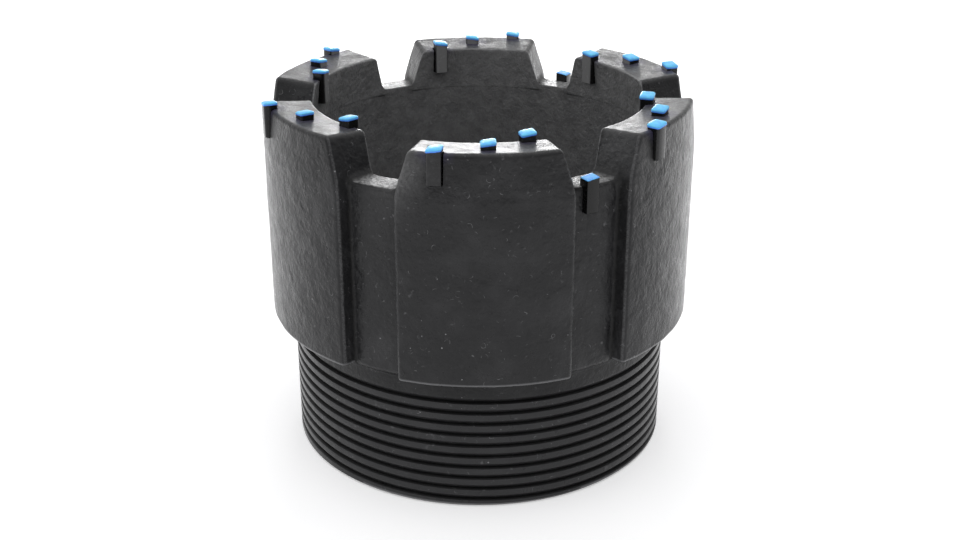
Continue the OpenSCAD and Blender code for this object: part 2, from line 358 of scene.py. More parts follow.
class HalfSegment:
    """Patches of points from the middle of a segment to the middle of the next waterway.

    Every patch shares its edge points with its neighbours, so the patches weld into one skin.
    """

    def __init__(self, form):
        self.form = form
        self.patches = []
        self.segment_shares = spread((0.92, 10), (1, 6))
        self.waterway_shares = spread((0.12, 4), (0.36, 3), (1, 4))
        body = form.body
        self.bore_turns = self.turns_at(form.inner_radius(body.floor_height), body.floor_height)
        self.ring_turns = self.turns_at(body.ring_radius, body.pad_foot)
        self.thread_top = body.shank_height - form.edges.foot / 2

    def add(self, r, turn, z):
        """One patch from radii, angles and heights that broadcast to rows and columns."""
        self.patches.append(np.stack(np.broadcast_arrays(r, turn, z), -1).astype(float))

    def over_segment(self, r, z):
        """Rows across a segment, from its middle to its flank."""
        flank = self.form.flank_angle(r, z)[:, None]
        self.add(r[:, None], flank * self.segment_shares, z[:, None])

    def over_waterway(self, r, z):
        """Rows across half a waterway, from the flank to its middle."""
        flank = self.form.flank_angle(r, z)[:, None]
        self.add(r[:, None], flank + (HALF_STEP - flank) * self.waterway_shares, z[:, None])

    def turns_at(self, r, z):
        """Angles of all columns at one radius and height."""
        flank = float(self.form.flank_angle(r, z))
        waterway = flank + (HALF_STEP - flank) * self.waterway_shares[1:]
        return np.concatenate([flank * self.segment_shares, waterway])

    def build(self):
        """All patches but the thread's."""
        self.build_crown()
        self.build_bore()
        self.build_shoulder()
        self.build_end()
        return self.patches

    def build_crown(self):
        """The pad and its segment, the wall beside them and the waterway's floor."""
        form, b, e = self.form, self.form.body, self.form.edges
        floor = b.floor_height
        pad_heights = near_edges(b.pad_foot, floor, 2 * e.foot, 2 * e.hollow, steps=26, close=5)
        upward = spread((0.16, 5), (0.84, 8), (1, 6))
        proud = spread((0.3, 4), (0.62, 3), (1, 5))
        deep = spread((0.12, 4), (0.8, 6), (1, 4))
        outer_z = floor + upward * (b.crown_height - floor)
        inner_z = floor + upward * (form.crown_inner_height - floor)
        outer_r, inner_r = form.outer_radius(outer_z), form.inner_radius(inner_z)
        pad_r = form.outer_radius(pad_heights)

        self.over_segment(pad_r, pad_heights)
        self.over_segment(outer_r, outer_z)
        self.over_segment(inner_r, inner_z)
        self.over_waterway(np.full_like(pad_heights, b.ring_radius), pad_heights)
        side_r = b.ring_radius + proud * (pad_r[:, None] - b.ring_radius)
        self.add(side_r, form.flank_angle(side_r, pad_heights[:, None]), pad_heights[:, None])

        inside = inner_r[:, None] + deep * (b.ring_radius - inner_r[:, None])
        outside = b.ring_radius + proud[1:] * (outer_r[:, None] - b.ring_radius)
        flank_r = np.concatenate([inside, outside], 1)
        across = (flank_r - inner_r[:, None]) / (outer_r - inner_r)[:, None]
        flank_z = inner_z[:, None] + across * (outer_z - inner_z)[:, None]
        self.add(flank_r, form.flank_angle(flank_r, flank_z), flank_z)
        self.over_segment(flank_r[-1], flank_z[-1])
        self.over_waterway(inside[0], np.full_like(inside[0], floor))
        self.over_segment(side_r[0], np.full_like(side_r[0], b.pad_foot))

    def build_bore(self):
        """The bore's wall, with its rows close together at the seam."""
        b = self.form.body
        beside_seam = np.array([2.2, 1.5, 1.0, 0.5, 0.0, -0.5, -1.0, -1.5, -2.2])
        seam_z = b.lean_start + b.seam_width * beside_seam
        above = np.linspace(b.floor_height, seam_z[0], 4)[:-1]
        below = np.linspace(seam_z[-1], b.bore_bevel, 26)[1:]
        bore_z = np.concatenate([above, seam_z, below])
        self.add(self.form.inner_radius(bore_z)[:, None], self.bore_turns, bore_z[:, None])

    def build_shoulder(self):
        """The slope from the ring down to the shank, and the shank's plain top."""
        b = self.form.body
        slope_z = np.linspace(b.pad_foot, b.shank_height, 7)
        shoulder_z = np.array([b.pad_foot, *slope_z[1:], self.thread_top])
        slope = share((shoulder_z - b.shank_height) / (b.pad_foot - b.shank_height))
        shoulder_r = b.crest_radius + slope * (b.ring_radius - b.crest_radius)
        self.add(shoulder_r[:, None], self.ring_turns, shoulder_z[:, None])

    def build_end(self):
        """The flat end below the thread, and the bevels on both its edges."""
        b, outer_turns, inner_turns = self.form.body, self.ring_turns, self.bore_turns
        inward = spread((1, 3))[:, None]
        end_r = (b.crest_radius - b.end_bevel) * (1 - inward) + (b.bore_radius + b.bore_bevel) * inward
        self.add(end_r, outer_turns * (1 - inward) + inner_turns * inward, 0)
        bevel = spread((1, 2))[:, None]
        self.add(b.crest_radius - b.end_bevel * bevel, outer_turns, b.end_bevel * (1 - bevel))
        self.add(b.bore_radius + b.bore_bevel * bevel, inner_turns, b.bore_bevel * (1 - bevel))


def groove_outline(thread):
    """Heights and depths over one pitch, from just below a groove's lower edge."""
    t = thread
    soft = t.soft
    slope_start = t.steep + t.root
    slope_end = t.pitch - t.crest
    return [
        (-soft, 0.0),
        (0.0, soft / 3),
        (soft / 2, soft * 1.2),
        (t.steep, t.depth - soft),
        (t.steep + soft / 2, t.depth),
        (slope_start, t.depth - soft / 2),
        (slope_start + soft * 2, t.depth - soft * 2),
        (slope_end - soft * 1.5, soft),
        (slope_end, soft / 4),
        (slope_end + soft * 2, 0.0),
        (t.pitch - t.crest / 2, 0.0),
    ]


def thread_grid(turns, body, thread, top):
    """Rows that climb with the thread, held between the end bevel and the shoulder.

    The first and last grooves fade over part of a turn, and rows near an end are laid on it.
    """
    rows = []
    outline = groove_outline(thread)
    near = 0.01 * MM
    run_in, run_out, fading = 0.5, 0.42, 0.16
    offset = (turns - thread.start) / (2 * pi)
    for groove in range(-1, thread.turns + 2):
        turn = groove - offset
        fade = share((turn + run_in) / fading) * share((thread.turns - run_out - turn) / fading)
        fade = fade * fade * (3 - 2 * fade)
        for height, depth in outline:
            z = thread.first + thread.pitch * turn + height
            z = np.where(z < body.end_bevel + near, body.end_bevel, np.where(z > top - near, top, z))
            rows.append(np.stack([body.crest_radius - depth * fade, turns, z], -1))
    return np.array(rows)


def polar_to_world(polar):
    """Radius, angle and height to X, Y and Z."""
    r, turn, z = polar.reshape(-1, 3).T
    return np.stack([r * np.cos(turn), r * np.sin(turn), z], 1)


def grid_faces(rows, columns, start):
    """Corner numbers of a grid's four-sided faces."""
    number = start + np.arange(rows * columns).reshape(rows, columns)
    corners = [number[:-1, :-1], number[1:, :-1], number[1:, 1:], number[:-1, 1:]]
    return np.stack([c.ravel() for c in corners], 1)


def welded_mesh(name, grids):
    """One closed mesh from grids of points, welded where they meet."""
    points, faces, count = [], [], 0
    for grid in grids:
        rows, columns = grid.shape[:2]
        points.append(polar_to_world(grid))
        faces.append(grid_faces(rows, columns, count))
        count += rows * columns
    mesh = bpy.data.meshes.new(name)
    mesh.from_pydata(np.concatenate(points), [], np.concatenate(faces).tolist())
    bm = bmesh.new()
    bm.from_mesh(mesh)
    bmesh.ops.remove_doubles(bm, verts=bm.verts, dist=WELD)
    bmesh.ops.recalc_face_normals(bm, faces=bm.faces)
    loose = [edge for edge in bm.edges if not edge.is_manifold]
    if loose:
        where = loose[0].verts[0].co / MM
        raise RuntimeError(f"{name} isn't closed: {len(loose)} open edges, one at {tuple(where)}")
    bm.to_mesh(mesh)
    bm.free()
    return mesh


def mesh_points(mesh):
    """A mesh's corner points as an array."""
    points = np.empty(len(mesh.vertices) * 3, np.float32)
    mesh.vertices.foreach_get("co", points)
    return points.reshape(-1, 3).astype(float)


def set_points(mesh, points):
    """Writes a mesh's corner points."""
    mesh.vertices.foreach_set("co", points.astype(np.float32).ravel())
    mesh.update()


def casting_waves(points, size):
    """Slow random waves over the casting, from 0 to 1 and the same on every run."""
    falling, finer, layers, strength = 0.9, 2.0, 3, 0.7
    waves = [noise.fractal(Vector(point) / size, falling, finer, layers) for point in points]
    return share(0.5 + strength * np.array(waves))


def ring_columns(ring_turns, start):
    """Every column's angle round the shank, over one turn that begins opposite the start."""
    columns = np.concatenate([side * ring_turns for side in (-1, 1)])
    all_turns = np.concatenate([FIRST_SEGMENT + s * STEP + columns for s in range(SEGMENTS)])
    first, decimals = start - pi, 9
    wrapped = np.sort(np.unique(np.round((all_turns - first) % (2 * pi), decimals)))
    return np.concatenate([wrapped, [wrapped[0] + 2 * pi]]) + first


def body_mesh(settings):
    """The whole body with its thread, before the pockets are cut."""
    body, edges, thread = settings.body, settings.edges, settings.thread
    form = BodyForm(body, edges)
    half = HalfSegment(form)
    patches = half.build()
    grids = []
    for segment in range(SEGMENTS):
        middle = FIRST_SEGMENT + segment * STEP
        for side in (1, -1):
            for patch in patches:
                turned = patch.copy()
                turned[..., 1] = middle + side * patch[..., 1]
                grids.append(turned)
    ring = ring_columns(half.ring_turns, thread.start)
    grids.append(thread_grid(ring, body, thread, half.thread_top))
    mesh = welded_mesh("ring_bit_body", grids)
    points = mesh_points(mesh)
    cast = points[:, 2] > half.thread_top + ON_LINE
    points[cast] = form.settle(points[cast])
    waves = edges.wave * casting_waves(points[cast], edges.wave_size)
    points[cast] -= form.slope(points[cast]) * waves[:, None]
    set_points(mesh, points)
    return mesh, form


class Place:
    """Where an insert stands, read from its solid's box in the frame."""

    def __init__(self, node):
        low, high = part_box(node)
        middle = (low + high) / 2
        self.turn = atan2(middle.y, middle.x)
        self.reach = hypot(middle.x, middle.y)
        self.low = low.z
        self.high = high.z

    def to_world(self, points):
        """Points along the radius, across it and up, to X, Y and Z."""
        x, y, z = np.moveaxis(np.asarray(points, float), -1, 0)
        r = self.reach + x
        c, s = cos(self.turn), sin(self.turn)
        return np.stack([r * c - y * s, r * s + y * c, z], -1)


def corner_points(x, y, radius, start):
    """A quarter circle that rounds the upright edge at x, y."""
    steps = 3
    turns = start + pi / 2 * spread((1, steps))
    middle = start + pi / 4
    cx, cy = x - radius * np.sign(cos(middle)), y - radius * np.sign(sin(middle))
    return np.stack([cx + radius * np.cos(turns), cy + radius * np.sin(turns)], 1)


def bar_outline(half_x, half_y, radius):
    """Outline of an upright bar with rounded edges, counterclockwise."""
    return np.concatenate([
        corner_points(half_x, -half_y, radius, -pi / 2),
        corner_points(half_x, half_y, radius, 0),
        corner_points(-half_x, half_y, radius, pi / 2),
        corner_points(-half_x, -half_y, radius, pi),
    ])


def open_outline(half_x, half_y, radius, wall, rim):
    """Outline of a pocket that breaks out through the wall at x, with the wall's rim bevelled."""
    side = half_y + rim + OVER
    mouth = [(wall - rim, -half_y), (wall + OVER, -side), (wall + REACH, -side)]
    mouth += [(x, -y) for x, y in reversed(mouth)]
    return np.concatenate([
        mouth,
        corner_points(-half_x, half_y, radius, pi / 2),
        corner_points(-half_x, -half_y, radius, pi),
    ])


def loft_faces(levels, count):
    """Faces of a tube through rings of points, closed at both ends."""
    ring = np.arange(count)
    after = np.roll(ring, -1)
    faces = []
    for level in range(levels - 1):
        low, high = level * count, (level + 1) * count
        faces += np.stack([ring + low, after + low, after + high, ring + high], 1).tolist()
    faces.append(ring[::-1].tolist())
    faces.append((ring + (levels - 1) * count).tolist())
    return faces


def half_section(sizes, spot, extra):
    """Half the depth and half the width of an insert, with something extra on each side."""
    if spot == "waterway":
        return sizes.gauge_depth / 2 + extra, sizes.gauge_width / 2 + extra
    return sizes.crown_depth / 2 + extra, sizes.crown_width / 2 + extra


def pocket_outline(place, spot, form, half_x, half_y, inset, level):
    """One ring of a pocket, and which of its points lie outside the wall that the pocket opens."""
    radius = 0.45 * MM
    if spot == "middle":
        outline = bar_outline(half_x - inset, half_y - inset, radius)
        return outline, np.zeros(len(outline), bool)
    inner = spot == "inner"
    wall_r = form.body.ring_radius if spot == "waterway" else form.outer_radius(level)
    wall_r = form.inner_radius(level) if inner else wall_r
    wall = np.sqrt(wall_r**2 - half_y**2) - place.reach
    wall = -wall if inner else wall
    outline = open_outline(half_x - inset, half_y - inset, radius, wall, form.edges.rim)
    outside = np.zeros(len(outline), bool)
    outside[1:5] = True
    if inner:
        return (outline * (-1, 1))[::-1], outside[::-1]
    return outline, outside


def pocket_loops(place, spot, form, sizes):
    """Rings of points round the space that an insert's pocket takes out of the body."""
    body, rim = form.body, form.edges.rim
    gauge = spot == "waterway"
    gap = 0.0 if spot == "middle" else sizes.gap
    half_x, half_y = half_section(sizes, spot, sizes.coat + sizes.seat)
    half_y = half_y + gap / 2
    top = body.floor_height if gauge else body.crown_height
    stages = [(place.low + rise, inset, False) for rise, inset in POCKET_FOOT]
    stages += [(place.low + (top - place.low) * part, 0.0, False) for part in (0.35, 0.7)]
    stages += [(top - rim, 0.0, True), (top + OVER, -rim - OVER, True), (top + REACH, -rim - OVER, True)]
    loops = []
    for level, inset, at_rim in stages:
        outline, outside = pocket_outline(place, spot, form, half_x, half_y, inset, level)
        height = np.full(len(outline), level)
        if at_rim and not gauge:
            height = height + form.top_height(place.reach + outline[:, 0]) - top
        if not loops:
            height = height - np.where(outside, rim + OVER, 0)
        loops.append(np.column_stack([outline + (0, gap / 2), height]))
    return place.to_world(loops)


def pockets_mesh(nodes, form, sizes):
    """All the pockets' spaces in one mesh."""
    points, faces, count = [], [], 0
    for node in nodes:
        loops = pocket_loops(Place(node), node.split("_")[0], form, sizes)
        levels, around = loops.shape[:2]
        points.append(loops.reshape(-1, 3))
        faces += [[count + corner for corner in face] for face in loft_faces(levels, around)]
        count += levels * around
    mesh = bpy.data.meshes.new("pockets")
    mesh.from_pydata(np.concatenate(points), [], faces)
    mesh.validate()
    return mesh


def cut(piece, cutter_mesh, wall_material):
    """Takes a closed mesh's space out of a piece, and gives the new walls a material of their own."""
    for mesh in (piece.data, cutter_mesh):
        if not mesh.materials:
            mesh.materials.append(piece.data.materials[0])
        mesh.materials.append(wall_material)
    cutter_mesh.polygons.foreach_set("material_index", [1] * len(cutter_mesh.polygons))
    cutter = bpy.data.objects.new("cutter", cutter_mesh)
    bpy.context.scene.collection.objects.link(cutter)
    step = piece.modifiers.new("pockets", "BOOLEAN")
    step.operation = "DIFFERENCE"
    step.solver = "MANIFOLD"
    step.object = cutter
    before = len(piece.data.polygons)
    made = bpy.data.meshes.new_from_object(piece.evaluated_get(bpy.context.evaluated_depsgraph_get()))
    piece.modifiers.clear()
    bpy.data.objects.remove(cutter)
    if len(made.polygons) <= before:
        raise RuntimeError("the pockets weren't cut")
    old = piece.data
    piece.data = made
    made.name = "steel_body"
    bpy.data.meshes.remove(old)


def finish_shading(mesh, crease):
    """Smooth faces, with edges kept sharp where they turn by more than the crease angle."""
    mesh.shade_smooth()
    mesh.set_sharp_from_angle(angle=crease)


def add_measure(mesh, name, values):
    """Stores one number for each corner point, for the material to read."""
    attribute = mesh.attributes.new(name, "FLOAT", "POINT")
    attribute.data.foreach_set("value", np.asarray(values, np.float32))


def hollow_measure(mesh, form):
    """Marks painted shade in the inside corners beside the pads and at the segments' feet."""
    body, points = form.body, mesh_points(mesh)
    z = points[:, 2]
    r, turn = round_axis(points)
    above = z - body.floor_height
    rise = np.maximum(above, 0)
    flank = form.past_flank(r, np.abs(turn), rise)
    aside = np.clip(flank, 0, None)
    fading = 4 * MM

    up_side, over_wall = 1.8 * MM, 0.7 * MM
    proud = np.clip(r - body.ring_radius, 0, None)
    beside = share(1 - np.hypot(proud / up_side, aside / over_wall))
    onto_pad = np.where(turn < 0, 1.3 * MM, 0.4 * MM)
    beside = beside * (flank > -onto_pad) * share(1 - above / fading)
    beside = beside * (z > body.pad_foot - 0.3 * MM) * (r > body.ring_radius - MM)

    up_flank, over_floor, under_flank = 2.2 * MM, 3 * MM, 0.9 * MM
    foot = share(1 - np.hypot(rise / up_flank, aside / over_floor))
    foot = foot * share(1 + flank / under_flank) * share(1 + above / fading)
    foot_darkness = 0.8
    add_measure(mesh, "hollow", np.maximum(beside, foot_darkness * foot * (r > body.bore_radius)))


def front_sheen_measure(mesh, form):
    """Marks a painted sheen patch at one edge of each segment on the front, strongest to the left."""
    body, points = form.body, mesh_points(mesh)
    x, y, z = points.T
    r, turn = round_axis(points)
    breadth, tallness = 7 * MM, 9 * MM
    middle_sheen, run_to_right = 0.8, 100 * MM
    past_edge = r * (form.flank_angle(r, z) + turn)
    height = z - (body.floor_height + body.crown_height) / 2
    patch = np.exp(-((past_edge / breadth) ** 2) - (height / tallness) ** 2)
    on_front = (r > body.bore_radius) * (y < 0)
    add_measure(mesh, "scuffed", patch * on_front * share(middle_sheen - x / run_to_right))


def foot_line_measure(mesh, form):
    """Marks a painted highlight on the pads' lower edges, where they turn under towards the floor."""
    body, points = form.body, mesh_points(mesh)
    z = points[:, 2]
    r, _ = round_axis(points)
    tipped, undercut, tipping, turning_under = 0.12, 0.7, 0.12, 0.2
    downward = -form.slope(points)[:, 2]
    line = share((downward - tipped) / tipping) * share((undercut - downward) / turning_under)
    at_foot = (r > body.ring_radius + 0.5 * MM) * (np.abs(z - body.pad_foot) < 1.5 * MM)
    add_measure(mesh, "foot_line", line * at_foot)


def edge_wear_and_highlight_measure(mesh, form):
    """How far the surface has turned from facing outward, and where the upright edges get pale wear that
    also stands for their painted highlights.
    """
    body, points = form.body, mesh_points(mesh)
    x, y, z = points.T
    r = np.hypot(x, y)
    slope = form.slope(points)
    tiny = 1e-6
    sideways = np.maximum(np.hypot(slope[:, 0], slope[:, 1]), tiny)
    outward = (slope[:, 0] * x + slope[:, 1] * y) / (sideways * r)
    add_measure(mesh, "turning", np.arccos(np.clip(outward, -1, 1)))
    leaning, steepening, outer_strength = 0.45, 0.2, 0.3
    upright = share((sideways - leaning) / steepening)
    outer = (r > form.outer_radius(z) - 1.3 * MM) * (z > body.pad_foot + 0.5 * MM)
    above_floor = share((z - body.floor_height) / (2 * MM) - 0.7)
    inner = (r < form.inner_radius(z) + 1.2 * MM) * above_floor
    add_measure(mesh, "worn_edge", upright * np.maximum(outer * outer_strength, inner))


def bore_measure(mesh, form):
    """Marks the walls that face the bore, for a grey bloom that is also painted light, weaker below the
    seam; and the seam, for painted shade.
    """
    body, points = form.body, mesh_points(mesh)
    z = points[:, 2]
    r, turn = round_axis(points)
    past = r - form.inner_radius(z)
    above_seam = share((z - body.lean_start) / MM + 0.5)
    dust_and_light_below = 0.74
    bore_dust_and_light = dust_and_light_below + (1 - dust_and_light_below) * above_seam
    add_measure(mesh, "bore", share(1.6 - past / (0.5 * MM)) * bore_dust_and_light)
    # Painted shade along the seam
    flank = form.past_flank(r, np.abs(turn))
    line = 1.1 * body.seam_width
    near = np.exp(-(((z - body.lean_start) / line) ** 2)) * (past < MM)
    faint, stronger, reach = 0.12, 0.8, 6 * MM
    strength = faint + stronger * np.exp(-((flank / reach) ** 2))
    add_measure(mesh, "seam", near * strength * (flank < 0.3 * MM))


def painted_glare_measure(mesh, form):
    """Marks painted glare on the waterways' floors, fainter on the segments' tops, and all that faces up."""
    body, points = form.body, mesh_points(mesh)
    z = points[:, 2]
    r, _ = round_axis(points)
    floor_depth, crown_depth, crown_glare = 0.5 * MM, 0.8 * MM, 0.17
    floor = share(1 - np.abs(z - body.floor_height) / floor_depth)
    floor = floor * (r < body.ring_radius - 0.8 * MM) * (r > body.bore_radius + 0.3 * MM)
    crown = share(1 - np.abs(z - form.top_height(r)) / crown_depth) * crown_glare
    add_measure(mesh, "scoured", np.maximum(floor, crown))
    add_measure(mesh, "level", share(form.slope(points)[:, 2] * 2 - 0.8))


FORM_MEASURES = (
    hollow_measure,
    front_sheen_measure,
    foot_line_measure,
    edge_wear_and_highlight_measure,
    bore_measure,
    painted_glare_measure,
)


def groove_measure(mesh, body, thread):
    """Marks painted shade in the thread's grooves, darkest at the root and along the steep lower flank.

    Also marks all that is turned on a lathe, and a thin painted highlight line where the end bevel starts.
    """
    x, y, z = mesh_points(mesh).T
    r = np.hypot(x, y)
    turn = (np.arctan2(y, x) - thread.start) / (2 * pi)
    height = (z - thread.first + thread.pitch * turn) % thread.pitch
    deep = (body.crest_radius - r) / (thread.depth / 3)
    root_end = thread.steep + thread.root
    gentle = thread.pitch - thread.crest - root_end
    gather, run_out_shade = 1.7, 0.3
    darkness = share(1 - (height - root_end) / gentle) ** gather
    inside = (z < body.shank_height) & (r > body.bore_radius + MM)
    last = thread.first + thread.pitch * (thread.turns - 0.5)
    turned = share((last - z) / (0.5 * MM)) * inside
    # Painted shade, also over the plain band above the last groove
    shaded = np.maximum(share(np.minimum(darkness, deep)), run_out_shade * (1 - turned))
    add_measure(mesh, "groove", np.where(inside & (z > body.end_bevel), shaded, 0))
    add_measure(mesh, "turned", turned)
    at_bevel = (np.abs(z - body.end_bevel) < ON_LINE) & (deep < 0.1)
    add_measure(mesh, "end_line", inside & at_bevel)


def overspray_and_blue_bounce_measure(mesh, nodes):
    """Marks the crown round each insert, where tip paint has drifted and where a painted blue reflection of
    the tips falls.
    """
    reach, fading = 7 * MM, 4 * MM
    points = mesh_points(mesh)
    nearest = np.full(len(points), 1.0)
    for node in nodes:
        place = Place(node)
        tip = place.to_world((0.0, 0.0, place.high))
        nearest = np.minimum(nearest, np.linalg.norm(points - tip, axis=1))
    add_measure(mesh, "mist", share((reach - nearest) / fading))


def end_rings(sizes, gauge):
    """Depth and inset of the rings round a cutting end, from its top down to the bar."""
    rings = [(depth * MM, inset * MM) for depth, inset in (WATERWAY_END if gauge else CROWN_DOME)]
    if gauge:
        paint = sizes.gauge_paint
        return rings + [(paint, 0), (paint * 2, 0)]
    cap, paint = sizes.cap, sizes.paint
    rings += [(0.46 * MM, -cap * 0.7), (0.7 * MM, -cap)]
    return rings + [(paint * 0.95, -cap * 0.8), (paint, 0), (paint * 1.5, 0)]


def insert_mesh(name, place, spot, sizes):
    """A square carbide bar with rounded edges and a sloping cutting end under a cap of paint."""
    gauge = spot == "waterway"
    half_x, half_y = half_section(sizes, spot, sizes.coat)
    corner = sizes.gauge_corner if gauge else sizes.crown_corner
    rake = sizes.gauge_rake if gauge else sizes.crown_rake
    least_corner, corner_loss, foot_bevel = 0.1 * MM, 0.4, 0.35 * MM
    rings = end_rings(sizes, gauge)
    end = place.high - max((half_y - inset) * tan(rake) - depth for depth, inset in rings)
    loops, below = [], []
    for depth, inset in rings:
        rounding = max(corner - inset * corner_loss, least_corner)
        outline = bar_outline(half_x - inset, half_y - inset, rounding)
        height = end - depth + outline[:, 1] * tan(rake)
        loops.append(np.column_stack([outline, height]))
        below.append(np.full(len(outline), depth))
    middle = (end + place.low) / 2
    for level, inset in ((middle, 0), (place.low + foot_bevel, 0), (place.low, foot_bevel)):
        outline = bar_outline(half_x - inset, half_y - inset, corner)
        loops.append(np.column_stack([outline, np.full(len(outline), level)]))
        below.append(np.full(len(outline), end - level))
    across = np.concatenate([np.abs(loop[:, 1]) / np.abs(loop[:, 1]).max() for loop in loops[::-1]])
    inward = np.concatenate([-loop[:, 0] / np.abs(loop[:, 0]).max() for loop in loops[::-1]])
    loops = place.to_world(loops[::-1])
    levels, around = loops.shape[:2]
    mesh = bpy.data.meshes.new(name)
    mesh.from_pydata(loops.reshape(-1, 3), [], loft_faces(levels, around))
    add_measure(mesh, "below_tip", np.concatenate(below[::-1]) / MM)
    add_measure(mesh, "flank", across)
    add_measure(mesh, "inward", share(inward))
    finish_shading(mesh, INSERT_CREASE)
    return mesh


class Shader:
    """A material's nodes, or the world's, added and linked one at a time."""

    def __init__(self, name, shelf="materials"):
        self.material = getattr(bpy.data, shelf).new(name)
        self.material.use_nodes = True
        self.tree = self.material.node_tree
        self.tree.nodes.clear()

    def add(self, kind, settings=(), **inputs):
        """A node with its settings, and its inputs given as values or as other nodes' outputs."""
        node = self.tree.nodes.new("ShaderNode" + kind)
        for name, value in dict(settings).items():
            setattr(node, name, value)
        for name, value in inputs.items():
            found = [i for i in node.inputs if i.identifier == name or i.name.replace(" ", "_") == name]
            self.fill(next((i for i in found if i.enabled), found[0]), value)
        return node

    def fill(self, socket, value):
        """Links an input to another node's output, or sets its value."""
        if isinstance(value, bpy.types.NodeSocket):
            self.tree.links.new(value, socket)
        elif socket.type == "RGBA" and len(value) == 3:
            socket.default_value = (*value, 1.0)
        else:
            socket.default_value = value

    def millimetres(self):
        """The object's own coordinates in millimetres."""
        place = self.add("TexCoord").outputs["Object"]
        return self.add("Mapping", Vector=place, Scale=(1 / MM,) * 3).outputs["Vector"]

    def noise(self, where, size, detail=2.0, rough=0.5, distortion=0.0):
        """Soft random values, with patches of about a given size in millimetres."""
        return self.add(
            "TexNoise", Vector=where, Scale=1 / size, Detail=detail, Roughness=rough, Distortion=distortion
        ).outputs["Fac"]

    def cells(self, where, size):
        """Distance to scattered points, a given size apart in millimetres, and each point's own colour."""
        node = self.add("TexVoronoi", Vector=where, Scale=1 / size)
        return node.outputs["Distance"], node.outputs["Color"]

    def remap(self, value, low, high, to_low=0.0, to_high=1.0):
        """A value's range eased to another."""
        return self.add(
            "MapRange", {"interpolation_type": "SMOOTHSTEP"},
            Value=value, From_Min=low, From_Max=high, To_Min=to_low, To_Max=to_high,
        ).outputs["Result"]

    def clouds(self, where, size, detail, between, to=(0.0, 1.0), rough=0.5, distortion=0.0):
        """Soft patches of about a given size, with one range of the noise eased to another."""
        return self.remap(self.noise(where, size, detail, rough, distortion), *between, *to)

    def band(self, value, middle, inside, outside):
        """1 where a value is near a middle one, easing to 0 from one distance to another."""
        away = self.math("ABSOLUTE", self.math("SUBTRACT", value, middle))
        return self.remap(away, inside, outside, 1.0, 0.0)

    def math(self, operation, *values):
        """Arithmetic on one to three values."""
        node = self.add("Math", {"operation": operation})
        for socket, value in zip(node.inputs, values):
            self.fill(socket, value)
        return node.outputs[0]

    def times(self, first, second):
        """Product of two values."""
        return self.math("MULTIPLY", first, second)

    def plus(self, first, second):
        """Sum of two values."""
        return self.math("ADD", first, second)

    def larger(self, first, second):
        """The larger of two values."""
        return self.math("MAXIMUM", first, second)

    def blend(self, amount, first, second):
        """Two colours mixed by an amount."""
        node = self.add("Mix", {"data_type": "RGBA"}, Factor_Float=amount, A_Color=first, B_Color=second)
        return next(output for output in node.outputs if output.identifier == "Result_Color")

    def layered(self, base, layers):
        """A colour under layers, each given by its amount and its colour."""
        for amount, tone in layers:
            base = self.blend(amount, base, tone)
        return base

    def bump(self, height, depth, normal=None, strength=1.0):
        """Small relief, a given depth in millimetres."""
        inputs = {"Height": height, "Distance": depth * MM, "Strength": strength}
        if normal is not None:
            inputs["Normal"] = normal
        return self.add("Bump", **inputs).outputs["Normal"]

    def surface(self, **inputs):
        """The shader itself, joined to the output."""
        shader = self.add("BsdfPrincipled", **inputs)
        self.add("OutputMaterial", Surface=shader.outputs[0])
        return self.material

    def measure(self, name):
        """A number stored on the mesh."""
        return self.add("Attribute", {"attribute_name": name}).outputs["Fac"]


def paint_marks(shader, where):
    """Small scattered specks, short curved scratch marks and faint smudges, from 0 to 1."""
    clusters = shader.clouds(where, size=11, detail=2, between=(0.45, 0.7), to=(0.05, 1.0))
    near, own = shader.cells(where, size=1.25)
    own = shader.add("SeparateColor", Color=own).outputs[0]
    chosen = shader.remap(own, 0.86, 1.0, 0.0, 0.24)
    specks = shader.math("LESS_THAN", near, shader.times(chosen, clusters))

    bend = shader.add("TexNoise", Vector=where, Scale=0.35, Detail=2.0).outputs["Color"]
    bent = shader.add("VectorMath", {"operation": "ADD"}, Vector=where, Vector_001=bend).outputs[0]
    ring, _ = shader.cells(bent, size=3.1)
    thin = shader.band(ring, middle=0.34, inside=0.008, outside=0.028)
    some = shader.clouds(where, size=2.3, detail=1, between=(0.6, 0.7))
    scuffs_and_sheen = shader.times(thin, some)

    smudges = shader.clouds(where, size=2.2, detail=3, between=(0.64, 0.8), to=(0.0, 0.22), rough=0.55)
    small = shader.larger(shader.times(specks, 0.8), shader.times(scuffs_and_sheen, 0.4))
    return shader.larger(small, smudges)


def edge_wear_and_highlights(shader, where):
    """Thin pale lines: painted highlights at the pads' feet and the end bevel, and wear with painted
    highlights along the upright edges.
    """
    line = shader.larger(shader.measure("foot_line"), shader.measure("end_line"))
    turning = shader.measure("turning")
    outer = shader.band(turning, middle=0.98, inside=0.15, outside=0.45)
    inner = shader.band(turning, middle=2.0, inside=0.2, outside=0.34)
    patchy = shader.clouds(where, size=0.6, detail=4, between=(0.38, 0.6), to=(0.2, 1.0), rough=0.7)
    # Edge wear that also paints the edges' highlights
    worn = shader.times(shader.larger(outer, inner), shader.measure("worn_edge"))
    return shader.times(shader.larger(line, shader.times(worn, patchy)), 0.6)


def cast_relief(shader, where):
    """Lumps, streaks and fine grain of the casting, calm on turned and level faces."""
    smooth = shader.larger(shader.measure("level"), shader.measure("turned"))
    calm = shader.math("MULTIPLY_ADD", smooth, -0.75, 1.0)
    lumps = shader.noise(where, size=4.5, detail=3)
    relief = shader.bump(lumps, depth=0.55, strength=calm)
    streaks = shader.add("Mapping", Vector=where, Rotation=(0.15, 0.35, 0.0), Scale=(1.0, 1.0, 0.85))
    rippled = shader.math("MULTIPLY_ADD", shader.measure("bore"), 2.3, 1.0)
    rippled = shader.math("MULTIPLY_ADD", shader.measure("scoured"), 2.5, rippled)
    ripples = shader.noise(streaks.outputs["Vector"], size=1.5, detail=4, rough=0.62)
    relief = shader.bump(shader.times(ripples, rippled), depth=0.27, normal=relief, strength=calm)
    grain = shader.noise(where, size=0.5, detail=3, rough=0.6)
    return shader.bump(grain, depth=0.06, normal=relief)


